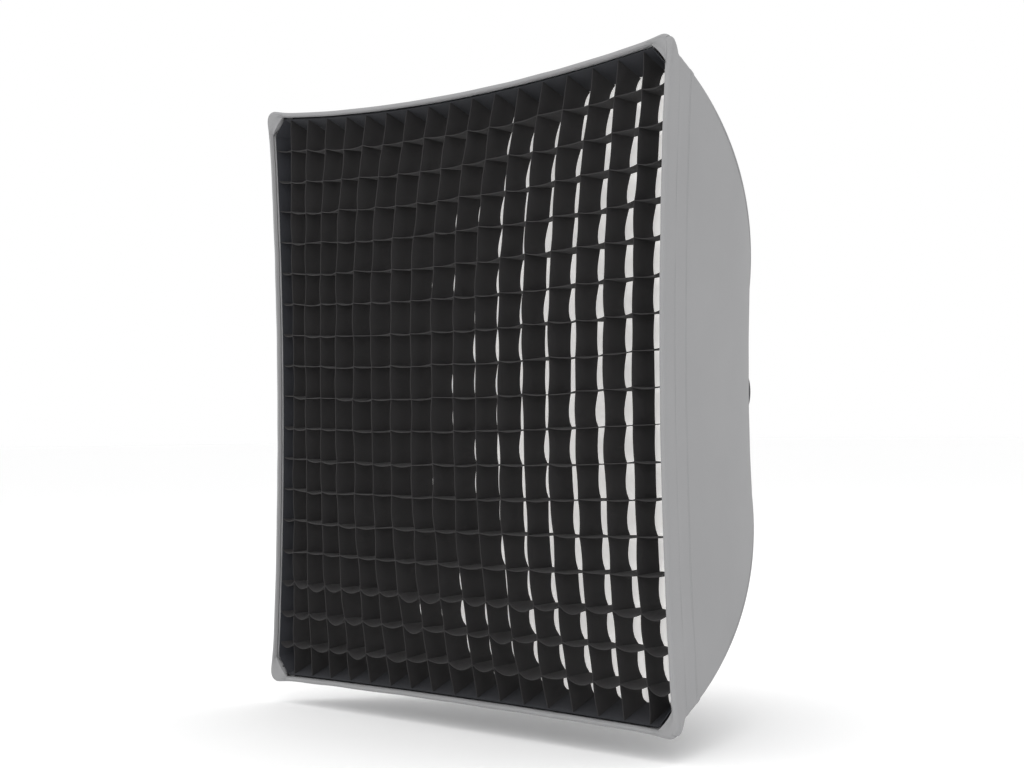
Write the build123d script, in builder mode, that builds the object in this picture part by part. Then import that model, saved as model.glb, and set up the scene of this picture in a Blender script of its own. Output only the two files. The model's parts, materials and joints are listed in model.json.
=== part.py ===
import os
from math import acos, asin, degrees, hypot, sqrt

from build123d import *

# A square, grid-fitted softbox. The frame's origin is the centre of the lamp bore, in the plane
# that seats on the lamp. +Y points back towards the lamp, the light leaves along -Y, and +Z is up.
# A "depth" is measured backwards from the plane of the front corners.

# Overall shape of the fabric body
BODY_DEPTH = 565.0  # front corner plane to the lamp seat
FRONT_HALF = 451.0  # half width of the front, at its corners
LIP_DEPTH = 50.0  # straight flared lip in front of the curved ribs
LIP_SLOPE = 0.49
SEAM_DEPTH = 80.0  # seam between lip and shell
SHELL_END = 526.0
RIB_RADIUS = 1150.0  # each corner rib is one arc, in the plane through the axis and the corner
RIB_CENTRE_OUT = -409.0
RIB_CENTRE_DEPTH = -496.0
CLOTH = 1.5
FIT_GAP = 0.3  # between neighbouring sewn pieces
SAG = {"top": 25.0, "bottom": 4.0, "left": 20.0, "right": 18.0}  # inward bow of each front edge
BEND_SPARE = 0.5  # degrees that a side is bent past its corners, before it is mitred
LIP_FRONT = 6.0  # depths where the lip cloth, the rolled binding and the gussets begin
BINDING_DEPTH = 1.0
BINDING_INSET = 2.0
BINDING_R = 4.5
GUSSET_DEPTH = 0.2
GUSSET_THICK = 2.2
GUSSET_START = 420.0
SEAM_BINDING_R = 1.0
SEAM_BINDING_IN = 4.2  # from the cloth to the middle of the binding
SEAM_BINDING_ENDS = (55.0, 515.0)
COLLAR_HALF = 82.7
COLLAR_ROUND = 10.0
COLLAR_HOLE_R = 69.0
COLLAR_GAP = 0.5  # from the speedring to the cloth behind it

SIDES = {"top": (0, 0, 1), "bottom": (0, 0, -1), "left": (-1, 0, 0), "right": (1, 0, 0)}
CORNERS = {
    "top_left": (-1, 1),
    "top_right": (1, 1),
    "bottom_left": (-1, -1),
    "bottom_right": (1, -1),
}

# Front corner reinforcement
CORNER_START = 418.0  # the sewn corner pieces begin here
CORNER_END = 470.0
POCKET_FRONT = 0.5
POCKET_BACK = 31.0
POCKET_LEG = 110.0
NOTCH_FRONT = 12.0  # how far the notches reach in front of the corners
POCKET_WALL = 2.5
POCKET_ROUND = 12.0

# Rods and what holds them
ROD_R = 3.0
ROD_ARC = RIB_RADIUS - 9.0
ROD_TIP = 12.0  # depth of the front end
ROD_ROOT = 86.0  # distance of the rear end from the axis
CAP_R = 5.5
SOCKET_R = 7.0
SOCKET_MOUTH = 106.0
SOCKET_ROOT = 84.0
SLIP = 0.05
CUT_PAST = 0.1  # by which a bore is cut past the end of its tube
OVERLAP = 1.0  # by which features of one solid run into each other
CAP_PAST_TIP = 5.0
CAP_GRIP = 9.0

# Speedring and lamp insert
BORE_R = 45.0
SPIGOT_R = 48.5
SPIGOT_LENGTH = 14.0
LUG_R = 53.5
DRUM_R = 59.0
DRUM_BACK = -22.0
BARREL_R = 52.0
BARREL_FRONT = -42.0
RUNNING = 0.1
RING_R = 80.0
RING_BACK = DRUM_BACK - FIT_GAP
RING_FRONT = BARREL_FRONT + FIT_GAP
RIM_R = 68.0
RIM_BACK = -3.0
PLATE = 3.0
PLATE_R = 58.0
RING_CHAMFER = 1.2
SOCKET_SCREW_OUT = 71.0
BOLT_R = 2.0
BOLT_HEAD = 2.5
BOLT_HEAD_R = 3.5
HEX_KEY_R = 1.7
HEX_KEY_DEPTH = 1.5
BOLT_DEPTH = 8.0  # of the socket screws in the speedring
HOLE_SPARE = 1.0  # the screw holes are deeper than the screws

# Rotation lock
KNOB_Y = -11.0
KNOB_R = 8.5
STUD_R = 2.5
PAD_LENGTH = 2.7
BOSS_R = 6.5
BOSS_START = 63.0  # inside the rim
BOSS_END = 73.0
KNOB_LENGTH = 17.0
KNOB_NECK = 5.0
KNOB_CHAMFER = 0.8
KNOB_GAP = 1.5  # from the boss to the knob
STUD_IN_KNOB = 12.0
FLUTES = 8
FLUTE_R = 2.4
FLUTE_OUT = 1.4  # from the knob's edge to the middle of each flute

# Inner baffle, front diffuser and grid
BAFFLE_DEPTH = 250.0
BAFFLE_HALF = 250.0
BAFFLE_ROUND = 20.0
DIFFUSER_DEPTH = 50.0
DIFFUSER_CORNER = 580.0  # distance of the cut corners from the axis
GRID_CORNER = 588.0
STRAP_OUTER = 448.0
STRAP_WIDTH = 10.0
STRAP_THICK = 1.0
ROD_LOOP_HALF = 6.0
ROD_LOOP_WALL = 0.7
TAPE = 1.5
GRID_TAPE = (8.0, 28.0)  # depths that the two pairs of tapes run between
DIFFUSER_TAPE = (46.0, 64.0)
END_GAP = 29.0  # the tapes stop short of the rods at each corner
SEWN_GAP = 0.2
TAPE_INSET = CLOTH + SEWN_GAP
HOOK_INSET = TAPE_INSET + TAPE + FIT_GAP
CELLS = 18
WALL = 1.2
GRID_HALF = 436.0
PAST_EDGE = 40.0  # the outer cells are drawn past the border, so that they are open to it
GRID_FRONT = 3.0
GRID_BACK = 48.0
GRID_THICK = 43.0
GRID_BULGE = 40.0
BULGE_FLAT = 180.0  # half width of the flat top of the bulge


def corner_reach(depth):
    """Half width of the body at its corner ribs."""
    if depth < LIP_DEPTH:
        return FRONT_HALF - LIP_SLOPE * depth
    out = RIB_CENTRE_OUT + sqrt(RIB_RADIUS**2 - (depth - RIB_CENTRE_DEPTH) ** 2)
    return out / sqrt(2)


def bow_centre(side):
    """Distance from the axis to the far axis that one side is curved about."""
    sag = SAG[side]
    return FRONT_HALF - sag + (FRONT_HALF**2 + sag**2) / (2 * sag)


def mid_reach(side, depth):
    """Distance from the axis to the middle of a side, which sags in between its two ribs."""
    centre, reach = bow_centre(side), corner_reach(depth)
    return centre - hypot(centre - reach, reach)


def cross_plane(depth):
    """The upright plane across the body at a depth, with X right and Z up; it faces forwards."""
    return Plane.XZ.offset(BODY_DEPTH - depth)


def bow_plane(side):
    """Where a side's profile is drawn: the origin is on the bow axis, x runs outwards, y back."""
    out = Vector(*SIDES[side])
    middle = Plane(origin=out * bow_centre(side), x_dir=out, z_dir=out.cross(Vector(0, 1, 0)))
    return middle.rotated((0, -bow_angle(side), 0))


def bow_angle(side):
    return degrees(asin(FRONT_HALF / (bow_centre(side) - FRONT_HALF))) + BEND_SPARE


def bend_and_mitre(profile, side, corner_gap):
    """Bend a profile along its side and cut it off short of the two corner planes."""
    out = Vector(*SIDES[side])
    along = out.cross(Vector(0, 1, 0))
    axis = Axis(out * bow_centre(side), (0, 1, 0))
    revolve(profile.sketch, axis=axis, revolution_arc=2 * bow_angle(side))
    for end in (-1, 1):
        inwards = (out + along * end).normalized()
        split(bisect_by=Plane(origin=inwards * corner_gap, z_dir=inwards), keep=Keep.TOP)


def profile_point(side, depth, inset):
    return (mid_reach(side, depth) - inset - bow_centre(side), depth - BODY_DEPTH)


def straight_strip(side, depths, inset, thickness, corner_gap=FIT_GAP / 2):
    """A strip of the lip region through the given depths, one fabric layer thick."""
    with BuildPart() as strip:
        with BuildSketch(bow_plane(side)) as profile:
            with BuildLine():
                outer = [profile_point(side, depth, inset) for depth in depths]
                inner = [profile_point(side, depth, inset + thickness) for depth in depths]
                Polyline(*outer, *reversed(inner), close=True)
            make_face()
        bend_and_mitre(profile, side, corner_gap)
    return strip.part


def angle_at_depth(depth, radius):
    return degrees(asin((depth - RIB_CENTRE_DEPTH) / radius))


def angle_at_out(out, radius):
    return degrees(acos((out - RIB_CENTRE_OUT) / radius))


def rib_plane(corner):
    """The plane through the axis and one corner: x runs out to the corner, y back."""
    right, up = CORNERS[corner]
    out = Vector(right, 0, up).normalized()
    return Plane(origin=(0, 0, 0), x_dir=out, z_dir=out.cross(Vector(0, 1, 0)))


def bent_rod(corner, radius, path_radius, start, end, mode=Mode.ADD):
    """A round rod that follows a corner rib from one angle to another."""
    centre = (RIB_CENTRE_OUT, RIB_CENTRE_DEPTH - BODY_DEPTH)
    with BuildLine(rib_plane(corner)) as path:
        CenterArc(centre, path_radius, start, end - start)
    with BuildSketch(Plane(origin=path.line @ 0, z_dir=path.line % 0)) as section:
        Circle(radius)
    sweep(section.sketch, path=path.line, mode=mode)


def notch_corners():
    """Cut the four front corners away, for the rod pockets."""
    size, middle = CORNER_END - CORNER_START, (CORNER_START + CORNER_END) / 2
    y = (POCKET_BACK - NOTCH_FRONT) / 2 - BODY_DEPTH
    with Locations(*[(right * middle, y, up * middle) for right, up in CORNERS.values()]):
        Box(size, POCKET_BACK + NOTCH_FRONT, size, mode=Mode.SUBTRACT)


def bowed_face(depth, inset):
    """Sketch the body's inside outline at a depth, with its four bowed edges."""
    reach = corner_reach(depth) - inset
    with BuildLine() as outline:
        for name, (out_x, _, out_z) in SIDES.items():
            middle = mid_reach(name, depth) - inset
            ends = [
                (reach * (out_x + end * out_z), reach * (out_z + end * out_x)) for end in (-1, 1)
            ]
            ThreePointArc(ends[0], (middle * out_x, middle * out_z), ends[1])
    make_face(outline.edges())


def cut_corners(reach):
    """Cut the four corners of a flat piece, so that it passes the rods."""
    for right, up in CORNERS.values():
        out = Vector(right, 0, up).normalized()
        split(bisect_by=Plane(origin=out * reach, z_dir=-out), keep=Keep.TOP)


os.makedirs("parts", exist_ok=True)


def save(builder, label):
    builder.part.label = label
    export_step(builder.part, f"parts/{label}.step")


# ---- Lamp insert -------------------------------------------------------------------------------

# Turned insert: a spigot with three bayonet lugs, a drum that seats on the lamp, and the barrel
# that the speedring turns on.
LUG_HALF_ANGLE = 15
LUG_BACK = 10.0
LUG_THICK = 6.0
SCREW_R = 1.5
SCREW_HEAD_R = 2.7
SCREW_DEPTH = 9.0
SCREW_CIRCLE = (BORE_R + BARREL_R) / 2
with BuildPart() as bayonet_insert:
    with BuildSketch(Plane.XZ.offset(-SPIGOT_LENGTH)):
        Circle(SPIGOT_R)
    extrude(amount=SPIGOT_LENGTH)
    with BuildSketch(Plane.XZ):
        Circle(DRUM_R)
    extrude(amount=-DRUM_BACK)
    with BuildSketch(Plane.XZ.offset(-DRUM_BACK)):
        Circle(BARREL_R)
    extrude(amount=DRUM_BACK - BARREL_FRONT)
    for middle in (90, 210, 330):
        with BuildSketch(Plane.XZ.offset(-LUG_BACK)):
            with BuildLine():
                start = middle - LUG_HALF_ANGLE
                outer = CenterArc((0, 0), LUG_R, start, 2 * LUG_HALF_ANGLE)
                inner = CenterArc((0, 0), SPIGOT_R - OVERLAP, start, 2 * LUG_HALF_ANGLE)
                Line(outer @ 0, inner @ 0)
                Line(outer @ 1, inner @ 1)
            make_face()
        extrude(amount=LUG_THICK)
    with BuildSketch(Plane.XZ.offset(-SPIGOT_LENGTH)):
        Circle(BORE_R)
    extrude(amount=SPIGOT_LENGTH - BARREL_FRONT, mode=Mode.SUBTRACT)
    with Locations(Plane.XZ.offset(-BARREL_FRONT)):
        with PolarLocations(SCREW_CIRCLE, 4):
            Hole(SCREW_R + SLIP, depth=SCREW_DEPTH)
save(bayonet_insert, "bayonet_insert")

# Plate on the front of the barrel that keeps the speedring on, and its screws
SCREW_HEAD = 1.5
DRIVER_SLOT = (3.8, 0.6, 1.2)
with BuildPart() as retaining_ring:
    with BuildSketch(Plane.XZ.offset(-BARREL_FRONT)):
        Circle(PLATE_R)
        Circle(BORE_R + RUNNING, mode=Mode.SUBTRACT)
    extrude(amount=PLATE)
    with Locations(Plane.XZ.offset(-BARREL_FRONT + PLATE)):
        with PolarLocations(SCREW_CIRCLE, 4):
            CounterBoreHole(SCREW_R + SLIP, SCREW_HEAD_R + SLIP, SCREW_HEAD)
save(retaining_ring, "insert_retaining_ring")

with BuildPart() as retaining_screws:
    with Locations(Plane.XZ.offset(-BARREL_FRONT + PLATE - SCREW_HEAD)):
        with PolarLocations(SCREW_CIRCLE, 4):
            Cylinder(SCREW_HEAD_R, SCREW_HEAD, align=(Align.CENTER, Align.CENTER, Align.MIN))
            Cylinder(SCREW_R, SCREW_DEPTH - HOLE_SPARE, align=(Align.CENTER, Align.CENTER, Align.MAX))
    with Locations(Plane.XZ.offset(-BARREL_FRONT + PLATE)):
        with PolarLocations(SCREW_CIRCLE, 4):
            Box(*DRIVER_SLOT, mode=Mode.SUBTRACT)
save(retaining_screws, "retaining_screws")

# ---- Speedring, sockets and rotation lock ------------------------------------------------------

RADIAL = Plane(origin=(0, KNOB_Y, 0), x_dir=(0, 1, 0), z_dir=(-1, 0, 0))
with BuildPart() as speedring:
    with BuildSketch(Plane.XZ.offset(-RING_BACK)):
        Circle(RING_R)
    extrude(amount=RING_BACK - RING_FRONT)
    with BuildSketch(Plane.XZ.offset(-RIM_BACK)):
        Circle(RIM_R)
    extrude(amount=RIM_BACK - RING_BACK)
    with BuildSketch(RADIAL.offset(BOSS_START)):
        Circle(BOSS_R)
    extrude(amount=BOSS_END - BOSS_START)
    with BuildSketch(Plane.XZ.offset(-RIM_BACK)):
        Circle(DRUM_R + RUNNING)
    extrude(amount=RIM_BACK - RING_BACK, mode=Mode.SUBTRACT)
    with BuildSketch(Plane.XZ.offset(-RING_BACK)):
        Circle(BARREL_R + RUNNING)
    extrude(amount=RING_BACK - RING_FRONT, mode=Mode.SUBTRACT)
    with BuildSketch(RADIAL.offset(DRUM_R - OVERLAP)):
        Circle(STUD_R + RUNNING)
    extrude(amount=BOSS_END - DRUM_R + 2 * OVERLAP, mode=Mode.SUBTRACT)
    with Locations(Plane.XZ.offset(-RING_FRONT)):
        with PolarLocations(SOCKET_SCREW_OUT, 4, start_angle=45):
            Hole(BOLT_R + SLIP, depth=BOLT_DEPTH + HOLE_SPARE)
    outer_edges = speedring.edges().filter_by(GeomType.CIRCLE).filter_by(lambda e: e.radius == RING_R)
    chamfer(outer_edges, RING_CHAMFER)
save(speedring, "speedring")

# Each socket is a closed-end tube on a foot that is screwed to the front of the ring.
FOOT_WIDTH = 18.0
FOOT_INNER = 64.0
FOOT_OUTER = 90.0
FOOT_STEP = 2.2
FOOT_BACK = RING_BACK - FOOT_STEP
for corner in CORNERS:
    with BuildPart() as rod_socket:
        root = angle_at_out(SOCKET_ROOT, ROD_ARC)
        mouth = angle_at_out(SOCKET_MOUTH, ROD_ARC)
        bent_rod(corner, SOCKET_R, ROD_ARC, mouth, root)
        with BuildSketch(rib_plane(corner)):
            with BuildLine():
                foot_front = RING_FRONT - PLATE
                Polyline(
                    (FOOT_INNER, RING_FRONT),
                    (FOOT_INNER, foot_front),
                    (FOOT_OUTER, foot_front),
                    (FOOT_OUTER, FOOT_BACK),
                    (RING_R + FIT_GAP, FOOT_BACK),
                    (RING_R + FIT_GAP, RING_FRONT),
                    close=True,
                )
            make_face()
        extrude(amount=FOOT_WIDTH / 2, both=True)
        bore_root = angle_at_out(ROD_ROOT - CUT_PAST, ROD_ARC)
        bent_rod(corner, ROD_R + SLIP, ROD_ARC, mouth - CUT_PAST, bore_root, mode=Mode.SUBTRACT)
        right, up = CORNERS[corner]
        out = SOCKET_SCREW_OUT / sqrt(2)
        with Locations(Plane.XZ.offset(-foot_front)):
            with Locations((right * out, up * out)):
                Hole(BOLT_R + SLIP, depth=PLATE)
    save(rod_socket, f"rod_socket_{corner}")

with BuildPart() as socket_screws:
    with Locations(Plane.XZ.offset(-RING_FRONT + PLATE)):
        with PolarLocations(SOCKET_SCREW_OUT, 4, start_angle=45):
            Cylinder(BOLT_HEAD_R, BOLT_HEAD, align=(Align.CENTER, Align.CENTER, Align.MIN))
            Cylinder(BOLT_R, PLATE + BOLT_DEPTH, align=(Align.CENTER, Align.CENTER, Align.MAX))
    with Locations(Plane.XZ.offset(-RING_FRONT + PLATE + BOLT_HEAD)):
        with PolarLocations(SOCKET_SCREW_OUT, 4, start_angle=45):
            with BuildSketch():
                RegularPolygon(HEX_KEY_R, 6)
    extrude(amount=-HEX_KEY_DEPTH, mode=Mode.SUBTRACT)
save(socket_screws, "socket_screws")

with BuildPart() as clamp_pad:
    with BuildSketch(RADIAL.offset(DRUM_R + FIT_GAP)):
        Circle(STUD_R)
    extrude(amount=PAD_LENGTH)
save(clamp_pad, "clamp_pad")

STUD_START = DRUM_R + FIT_GAP + PAD_LENGTH + SLIP
KNOB_START = BOSS_END + KNOB_GAP
with BuildPart() as lock_stud:
    with BuildSketch(RADIAL.offset(STUD_START)):
        Circle(STUD_R)
    extrude(amount=KNOB_START + STUD_IN_KNOB - STUD_START)
save(lock_stud, "lock_stud")

with BuildPart() as lock_knob:
    with BuildSketch(RADIAL.offset(KNOB_START)):
        Circle(KNOB_NECK)
    extrude(amount=KNOB_NECK)
    with BuildSketch(RADIAL.offset(KNOB_START + KNOB_NECK)):
        Circle(KNOB_R)
        with PolarLocations(KNOB_R + FLUTE_OUT, FLUTES):
            Circle(FLUTE_R, mode=Mode.SUBTRACT)
    extrude(amount=KNOB_LENGTH - KNOB_NECK)
    chamfer(lock_knob.faces().sort_by(Axis.X)[0].edges(), KNOB_CHAMFER)
    with BuildSketch(RADIAL.offset(KNOB_START)):
        Circle(STUD_R + SLIP)
    extrude(amount=STUD_IN_KNOB + SLIP, mode=Mode.SUBTRACT)
save(lock_knob, "lock_knob")

# ---- Rods --------------------------------------------------------------------------------------

for corner in CORNERS:
    with BuildPart() as rod:
        tip, root = angle_at_depth(ROD_TIP, ROD_ARC), angle_at_out(ROD_ROOT, ROD_ARC)
        bent_rod(corner, ROD_R, ROD_ARC, tip, root)
    save(rod, f"rod_{corner}")

with BuildPart() as rod_end_caps:
    for corner in CORNERS:
        front = angle_at_depth(ROD_TIP - CAP_PAST_TIP, ROD_ARC)
        back = angle_at_depth(ROD_TIP + CAP_GRIP, ROD_ARC)
        bent_rod(corner, CAP_R, ROD_ARC, front, back)
    for corner in CORNERS:
        front = angle_at_depth(ROD_TIP - RUNNING, ROD_ARC)
        back = angle_at_depth(ROD_TIP + CAP_GRIP + OVERLAP, ROD_ARC)
        bent_rod(corner, ROD_R + SLIP, ROD_ARC, front, back, mode=Mode.SUBTRACT)
save(rod_end_caps, "rod_end_caps")

# ---- Fabric body -------------------------------------------------------------------------------

# Four shell panels, each bowed between two ribs. The profile runs through arcs of three depths.
SHELL_DEPTHS = [SEAM_DEPTH + FIT_GAP, 190, 300, 415, SHELL_END]
for side in SIDES:
    with BuildPart() as shell_panel:
        with BuildSketch(bow_plane(side)) as profile:
            with BuildLine():
                for inset in (0, CLOTH):
                    points = [profile_point(side, depth, inset) for depth in SHELL_DEPTHS]
                    ThreePointArc(*points[0:3])
                    ThreePointArc(*points[2:5])
                for depth in (SHELL_DEPTHS[0], SHELL_END):
                    Line(profile_point(side, depth, 0), profile_point(side, depth, CLOTH))
            make_face()
        bend_and_mitre(profile, side, FIT_GAP / 2)
    save(shell_panel, f"shell_panel_{side}")

# Flared lip panels, notched at the corners for the rod pockets
for side in SIDES:
    with BuildPart() as lip_panel:
        add(straight_strip(side, (LIP_FRONT, LIP_DEPTH, SEAM_DEPTH), 0, CLOTH))
        notch_corners()
    save(lip_panel, f"lip_panel_{side}")

# Rolled binding along each front edge
for side in SIDES:
    with BuildPart() as rim_binding:
        with BuildSketch(bow_plane(side)) as profile:
            with Locations(profile_point(side, BINDING_DEPTH, BINDING_INSET)):
                Circle(BINDING_R)
        bend_and_mitre(profile, side, FIT_GAP / 2)
        notch_corners()
    save(rim_binding, f"rim_binding_{side}")

# Corner pockets take the rod tips: a rounded corner that leans in with the lip.
leg_end = FRONT_HALF - POCKET_LEG
for corner, (right, up) in CORNERS.items():
    with BuildPart() as corner_pocket:
        with BuildSketch(cross_plane(POCKET_FRONT)):
            with BuildLine():
                for reach, fillet_r in (
                    (FRONT_HALF, POCKET_ROUND),
                    (FRONT_HALF - POCKET_WALL, POCKET_ROUND - POCKET_WALL),
                ):
                    FilletPolyline(
                        (right * leg_end, up * reach),
                        (right * reach, up * reach),
                        (right * reach, up * leg_end),
                        radius=fillet_r,
                    )
                wall = (FRONT_HALF - POCKET_WALL, FRONT_HALF)
                Line((right * leg_end, up * wall[0]), (right * leg_end, up * wall[1]))
                Line((right * wall[0], up * leg_end), (right * wall[1], up * leg_end))
            make_face()
        lean = Vector(-right * LIP_SLOPE, 1, -up * LIP_SLOPE)
        extrude(amount=2 * POCKET_BACK, dir=lean.normalized())
        start, back = CORNER_START + FIT_GAP, POCKET_BACK - FIT_GAP
        middle, size = (start + CORNER_END) / 2, CORNER_END - start
        with Locations((right * middle, back / 2 - BODY_DEPTH, up * middle)):
            Box(size, back, size, mode=Mode.INTERSECT)
    save(corner_pocket, f"corner_pocket_{corner}")

# Triangular gussets close the pockets at the front.
with BuildPart() as corner_gussets:
    with BuildSketch(cross_plane(GUSSET_DEPTH)):
        for right, up in CORNERS.values():
            reach = FRONT_HALF - OVERLAP
            with BuildLine():
                FilletPolyline(
                    (right * GUSSET_START, up * reach),
                    (right * reach, up * reach),
                    (right * reach, up * GUSSET_START),
                    radius=POCKET_ROUND,
                )
                Line((right * GUSSET_START, up * reach), (right * reach, up * GUSSET_START))
            make_face()
    extrude(amount=GUSSET_THICK)
save(corner_gussets, "corner_gussets")

# Bound seam allowances run inside each rib, between the cloth and the rod.
with BuildPart() as seam_bindings:
    binding_arc = RIB_RADIUS - SEAM_BINDING_IN
    front, back = [angle_at_depth(depth, binding_arc) for depth in SEAM_BINDING_ENDS]
    for corner in CORNERS:
        bent_rod(corner, SEAM_BINDING_R, binding_arc, front, back)
save(seam_bindings, "seam_bindings")

# Shallow rear cap between the square end of the shell and the round speedring
COLLAR_FRONT = SHELL_END + FIT_GAP - BODY_DEPTH
COLLAR_BACK = RING_BACK + COLLAR_GAP
with BuildPart() as rear_collar:
    with BuildSketch(Plane.XZ.offset(-COLLAR_BACK - CLOTH)):
        RectangleRounded(2 * COLLAR_HALF, 2 * COLLAR_HALF, COLLAR_ROUND)
    extrude(amount=COLLAR_BACK - COLLAR_FRONT + CLOTH)
    with BuildSketch(Plane.XZ.offset(-COLLAR_BACK)):
        inside = 2 * (COLLAR_HALF - CLOTH)
        RectangleRounded(inside, inside, COLLAR_ROUND - CLOTH)
    extrude(amount=COLLAR_BACK - COLLAR_FRONT, mode=Mode.SUBTRACT)
    with BuildSketch(Plane.XZ.offset(-COLLAR_BACK - CLOTH)):
        Circle(COLLAR_HOLE_R)
    extrude(amount=CLOTH, mode=Mode.SUBTRACT)
save(rear_collar, "rear_collar")

# ---- Inner baffle ------------------------------------------------------------------------------

with BuildPart() as inner_baffle:
    with BuildSketch(cross_plane(BAFFLE_DEPTH)):
        RectangleRounded(2 * BAFFLE_HALF, 2 * BAFFLE_HALF, BAFFLE_ROUND)
    extrude(amount=CLOTH)
save(inner_baffle, "inner_baffle")

STRAP_INNER = BAFFLE_HALF * sqrt(2) - BAFFLE_ROUND * (sqrt(2) - 1) + FIT_GAP
with BuildPart() as baffle_straps:
    strap_length = STRAP_OUTER - STRAP_INNER
    with BuildSketch(cross_plane(BAFFLE_DEPTH)):
        with PolarLocations((STRAP_INNER + STRAP_OUTER) / 2, 4, start_angle=45):
            Rectangle(strap_length, STRAP_WIDTH)
    extrude(amount=STRAP_THICK)
save(baffle_straps, "baffle_straps")

# Small loops round the rods, which the straps hook into
with BuildPart() as rod_loops:
    for corner in CORNERS:
        front = angle_at_depth(BAFFLE_DEPTH - ROD_LOOP_HALF, ROD_ARC)
        back = angle_at_depth(BAFFLE_DEPTH + ROD_LOOP_HALF, ROD_ARC)
        bent_rod(corner, ROD_R + ROD_LOOP_WALL, ROD_ARC, front, back)
        front, back = front - CUT_PAST, back + CUT_PAST
        bent_rod(corner, ROD_R + SLIP, ROD_ARC, front, back, mode=Mode.SUBTRACT)
save(rod_loops, "rod_loops")

# ---- Hook-and-loop tapes -----------------------------------------------------------------------

with BuildPart() as grid_loop_tapes:
    for side in SIDES:
        add(straight_strip(side, GRID_TAPE, TAPE_INSET, TAPE, END_GAP))
save(grid_loop_tapes, "grid_loop_tapes")

with BuildPart() as diffuser_loop_tapes:
    for side in SIDES:
        depths = (DIFFUSER_TAPE[0], LIP_DEPTH, DIFFUSER_TAPE[1])
        add(straight_strip(side, depths, TAPE_INSET, TAPE, END_GAP))
save(diffuser_loop_tapes, "diffuser_loop_tapes")

with BuildPart() as grid_hook_tapes:
    for side in SIDES:
        add(straight_strip(side, GRID_TAPE, HOOK_INSET, TAPE, END_GAP))
save(grid_hook_tapes, "grid_hook_tapes")

with BuildPart() as diffuser_hook_tapes:
    for side in SIDES:
        depths = (DIFFUSER_DEPTH + FIT_GAP, DIFFUSER_TAPE[1])
        add(straight_strip(side, depths, HOOK_INSET, TAPE, END_GAP))
save(diffuser_hook_tapes, "diffuser_hook_tapes")

# ---- Front diffuser ----------------------------------------------------------------------------

with BuildPart() as front_diffuser:
    with BuildSketch(cross_plane(DIFFUSER_DEPTH)):
        bowed_face(DIFFUSER_DEPTH, HOOK_INSET)
    extrude(amount=CLOTH)
    cut_corners(DIFFUSER_CORNER)
save(front_diffuser, "front_diffuser")

# ---- Egg-crate grid ----------------------------------------------------------------------------

BORDER_INSET = HOOK_INSET + TAPE + SEWN_GAP
with BuildPart() as grid_border:
    for side in SIDES:
        add(straight_strip(side, (GRID_FRONT, GRID_BACK), BORDER_INSET, WALL, END_GAP))
save(grid_border, "grid_border")


def line_crossing(column, row):
    """Where two grid lines cross; the lines follow the bowed edges of the front."""
    across, up = 2 * column / CELLS - 1, 2 * row / CELLS - 1
    bow = {side: GRID_HALF - SAG[side] for side in SIDES}

    def edge(side, along):
        return GRID_HALF - (GRID_HALF - bow[side]) * max(0.0, 1 - along**2)

    right, left = edge("right", up), -edge("left", up)
    top, bottom = edge("top", across), -edge("bottom", across)
    x = left + (right - left) * (across + 1) / 2
    z = bottom + (top - bottom) * (up + 1) / 2
    return x, z


def cell(column, row):
    """One open cell, drawn half a wall inside its four grid lines."""
    points = []
    for right, up in ((0, 0), (1, 0), (1, 1), (0, 1)):
        x, z = line_crossing(column + right, row + up)
        reach_x = -PAST_EDGE if column + right in (0, CELLS) else WALL / 2
        reach_z = -PAST_EDGE if row + up in (0, CELLS) else WALL / 2
        points.append((x + reach_x * (1 - 2 * right), z + reach_z * (1 - 2 * up)))
    return points


def bulged_block(depth):
    """A block that ends in a flat-topped bulge, with its rim at the given depth."""
    with BuildPart() as block:
        with BuildSketch(cross_plane(GRID_BACK + OVERLAP)):
            Rectangle(2 * GRID_HALF, 2 * GRID_HALF)
        extrude(amount=GRID_BACK + OVERLAP - depth)
        with BuildSketch(cross_plane(depth)):
            Rectangle(2 * GRID_HALF, 2 * GRID_HALF)
        with BuildSketch(cross_plane(depth - GRID_BULGE)):
            Rectangle(2 * BULGE_FLAT, 2 * BULGE_FLAT)
        loft(ruled=True)
    return block.part


# The grid's own face and back both bulge forwards, and its walls keep one depth.
bulge_front = bulged_block(GRID_BACK - GRID_THICK)
bulge_back = bulged_block(GRID_BACK)

with BuildPart() as grid_walls:
    with BuildSketch(cross_plane(GRID_BACK)):
        bowed_face(GRID_BACK, BORDER_INSET + WALL + FIT_GAP)
        with BuildSketch(mode=Mode.PRIVATE) as cells:
            for column in range(CELLS):
                for row in range(CELLS):
                    with BuildLine():
                        Polyline(*cell(column, row), close=True)
                    make_face()
        add(cells.sketch, mode=Mode.SUBTRACT)
    extrude(amount=GRID_BACK + GRID_BULGE)
    add(bulge_front, mode=Mode.INTERSECT)
    add(bulge_back, mode=Mode.SUBTRACT)
    cut_corners(GRID_CORNER)
save(grid_walls, "grid_walls")
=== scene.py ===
"""The looks of a square, grid-fitted softbox, built round its CAD frame.

Metres throughout, in the frame's own axes: +Y runs back to the lamp, +Z is up. A "depth" is
measured backwards from the plane of the front corners, and an "inset" inwards from the cloth.
"""

import json
from math import cos, exp, hypot, pi, radians, sin, sqrt

import bpy
import numpy as np
from mathutils import Matrix, Vector, noise


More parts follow.
